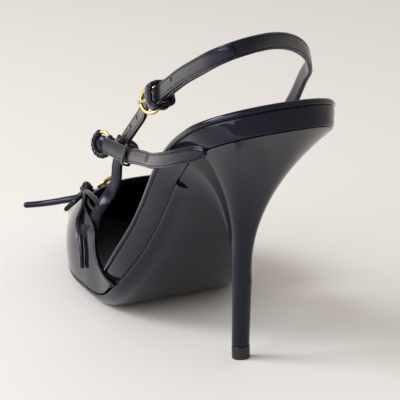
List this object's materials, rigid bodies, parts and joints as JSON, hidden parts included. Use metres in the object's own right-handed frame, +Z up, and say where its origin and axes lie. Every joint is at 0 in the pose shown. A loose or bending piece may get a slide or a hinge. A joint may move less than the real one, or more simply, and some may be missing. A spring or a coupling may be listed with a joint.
{
  "type": "slingback shoe",
  "caption": "High-heeled slingback shoe with a wrapped footbed, closed pointed toe, middle strap, buckled instep and ankle straps and a small lace bow.",
  "frame": {"origin": "middle of the heel tip's underside, on the floor", "axes": "+X toward the toe, +Y toward the outer side of the left foot, +Z up"},
  "size_m": [0.226, 0.0781, 0.1352],
  "materials": {
    "patent_leather": "high gloss black patent",
    "patent_heel_cover": "high gloss black",
    "insole_leather": "soft matt black",
    "tip_rubber": "satin black",
    "pale_gold_metal": "polished pale gold"
  },
  "bodies": {
    "root": {"top_piece": "tip_rubber", "heel": "patent_heel_cover", "outsole": "patent_leather", "footbed": "patent_leather", "insole": "insole_leather", "vamp": "patent_leather", "sling_strap": "patent_leather", "sling_ring": "pale_gold_metal", "sling_keeper": "patent_leather", "instep_strap_outer": "patent_leather", "instep_strap_inner": "patent_leather", "instep_ring": "pale_gold_metal", "instep_keeper": "patent_leather", "bow": "patent_leather", "bow_ring": "pale_gold_metal"}
  },
  "joints": []
}
